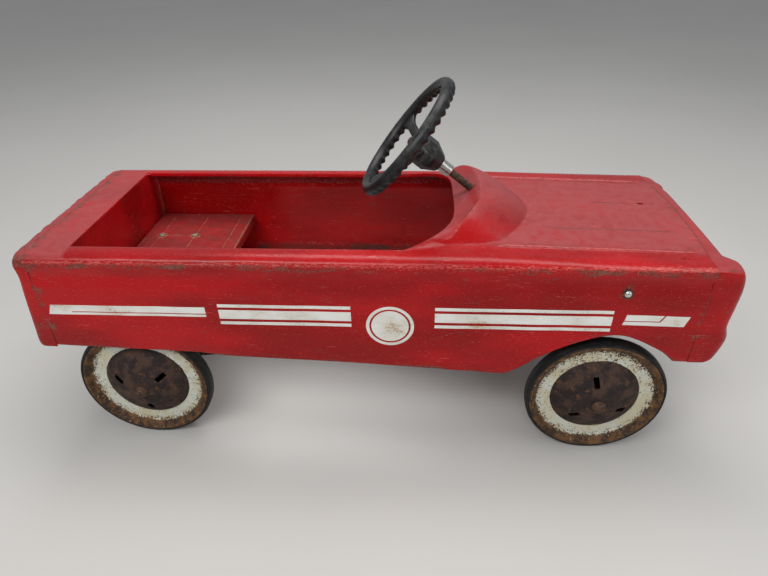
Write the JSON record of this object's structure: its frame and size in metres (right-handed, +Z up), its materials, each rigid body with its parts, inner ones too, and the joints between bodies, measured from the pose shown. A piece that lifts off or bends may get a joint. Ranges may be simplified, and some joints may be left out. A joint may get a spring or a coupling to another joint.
{
  "type": "pedal car",
  "caption": "Child's pressed-steel pedal car with open cockpit, seat, disc wheels with solid tyres, crank-and-strap pedal drive and tie-rod steering.",
  "frame": {"origin": "on the floor below the middle of the car", "axes": "+X towards the nose, +Y to the driver's left, +Z up"},
  "size_m": [0.88, 0.32, 0.4669],
  "materials": {
    "red_paint": "glossy red enamel, rubbed and scratched",
    "wheel_paint": "white enamel band on rusty steel",
    "bare_steel": "rusty bare steel",
    "bright_steel": "plated, worn",
    "black_rubber": "matte, dusty",
    "black_plastic": "satin moulded",
    "white_plastic": "matte"
  },
  "bodies": {
    "body_shell": {"side_panel_right": "red_paint", "side_panel_left": "red_paint", "hood_cowl": "red_paint", "rear_deck": "red_paint", "nose_panel": "red_paint", "tail_panel": "red_paint", "seat_back": "red_paint", "seat_pan": "red_paint", "axle_hanger_right": "bare_steel", "axle_hanger_left": "bare_steel", "axle_bushing_right": "white_plastic", "axle_bushing_left": "white_plastic", "seat_bolt_right_1": "bright_steel", "seat_bolt_right_2": "bright_steel", "seat_bolt_left_1": "bright_steel", "seat_bolt_left_2": "bright_steel", "hanger_rod": "bare_steel", "front_cross_member": "bare_steel", "side_bolt_right": "bright_steel", "side_bolt_left": "bright_steel", "king_pin_bracket_right": "bare_steel", "king_pin_bracket_left": "bare_steel", "column_bracket": "bare_steel"},
    "rear_axle": {"crank_axle": "bare_steel", "drive_pin": "bright_steel", "rear_left_wheel_outer": "wheel_paint", "rear_left_wheel_inner": "wheel_paint", "rear_left_tyre": "black_rubber", "rear_left_axle_cap": "bare_steel"},
    "free_wheel": {"rear_right_wheel_outer": "wheel_paint", "rear_right_wheel_inner": "wheel_paint", "rear_right_tyre": "black_rubber", "rear_right_axle_cap": "bare_steel"},
    "strap_right": {"push_strap_right": "bare_steel", "pedal_pin_right": "bright_steel"},
    "pedal_right": {"pedal_right": "black_rubber"},
    "hanger_right": {"pedal_hanger_right": "bare_steel"},
    "strap_left": {"push_strap_left": "bare_steel", "pedal_pin_left": "bright_steel"},
    "pedal_left": {"pedal_left": "black_rubber"},
    "hanger_left": {"pedal_hanger_left": "bare_steel"},
    "steering": {"steering_column": "bare_steel", "steering_wheel": "black_plastic", "steering_nut": "bright_steel", "steering_collar": "bright_steel"},
    "tie_rod": {"tie_rod": "bare_steel"},
    "knuckle_right": {"spindle_right": "bare_steel", "steering_arm_right": "bare_steel"},
    "front_wheel_right": {"front_right_wheel_outer": "wheel_paint", "front_right_wheel_inner": "wheel_paint", "front_right_tyre": "black_rubber", "front_right_axle_cap": "bare_steel"},
    "knuckle_left": {"spindle_left": "bare_steel", "steering_arm_left": "bare_steel"},
    "front_wheel_left": {"front_left_wheel_outer": "wheel_paint", "front_left_wheel_inner": "wheel_paint", "front_left_tyre": "black_rubber", "front_left_axle_cap": "bare_steel"}
  },
  "joints": [
    {"name": "rear_axle_spin", "type": "hinge", "parent": "body_shell", "child": "rear_axle", "pos_m": [-0.3134, 0, 0.0907], "axis": [0, 1, 0], "continuous": true},
    {"name": "free_wheel_spin", "type": "hinge", "parent": "rear_axle", "child": "free_wheel", "pos_m": [-0.3134, -0.113, 0.0907], "axis": [0, 1, 0], "continuous": true},
    {"name": "strap_right_turn", "type": "hinge", "parent": "rear_axle", "child": "strap_right", "pos_m": [-0.2754, -0.058, 0.0907], "axis": [0, 1, 0], "continuous": true},
    {"name": "pedal_right_turn", "type": "hinge", "parent": "strap_right", "child": "pedal_right", "pos_m": [0.2245, -0.033, 0.14418], "axis": [0, 1, 0], "continuous": true},
    {"name": "hanger_right_swing", "type": "hinge", "parent": "body_shell", "child": "hanger_right", "pos_m": [0.1865, -0.0675, 0.258], "axis": [0, 1, 0], "range_deg": [-3, 40]},
    {"name": "strap_left_turn", "type": "hinge", "parent": "rear_axle", "child": "strap_left", "pos_m": [-0.3514, 0.058, 0.0907], "axis": [0, 1, 0], "continuous": true},
    {"name": "pedal_left_turn", "type": "hinge", "parent": "strap_left", "child": "pedal_left", "pos_m": [0.1485, 0.033, 0.14418], "axis": [0, 1, 0], "continuous": true},
    {"name": "hanger_left_swing", "type": "hinge", "parent": "body_shell", "child": "hanger_left", "pos_m": [0.1865, 0.0675, 0.258], "axis": [0, 1, 0], "range_deg": [-40, 3]},
    {"name": "steering_turn", "type": "hinge", "parent": "body_shell", "child": "steering", "pos_m": [0.1235, 0, 0.333], "axis": [-0.7799, 0, 0.6259], "range_deg": [-28, 28]},
    {"name": "tie_rod_slide", "type": "slide", "parent": "body_shell", "child": "tie_rod", "axis": [0, -1, 0], "range_m": [-0.0147, 0.0147]},
    {"name": "knuckle_right_turn", "type": "hinge", "parent": "body_shell", "child": "knuckle_right", "pos_m": [0.2968, -0.088, 0.0907], "axis": [0, 0, 1], "range_deg": [-22.2, 22.2]},
    {"name": "front_wheel_right_spin", "type": "hinge", "parent": "knuckle_right", "child": "front_wheel_right", "pos_m": [0.2968, -0.119, 0.0907], "axis": [0, 1, 0], "continuous": true},
    {"name": "knuckle_left_turn", "type": "hinge", "parent": "body_shell", "child": "knuckle_left", "pos_m": [0.2968, 0.088, 0.0907], "axis": [0, 0, 1], "range_deg": [-22.2, 22.2]},
    {"name": "front_wheel_left_spin", "type": "hinge", "parent": "knuckle_left", "child": "front_wheel_left", "pos_m": [0.2968, 0.119, 0.0907], "axis": [0, 1, 0], "continuous": true}
  ],
  "couplings": [
    {"joint": "strap_right_turn", "follows": "rear_axle_spin", "ratio": -1},
    {"joint": "strap_left_turn", "follows": "rear_axle_spin", "ratio": -1},
    {"joint": "tie_rod_slide", "follows": "steering_turn", "m_per_rad": 0.02975},
    {"joint": "knuckle_right_turn", "follows": "steering_turn", "ratio": 0.7857},
    {"joint": "knuckle_left_turn", "follows": "steering_turn", "ratio": 0.7857}
  ]
}
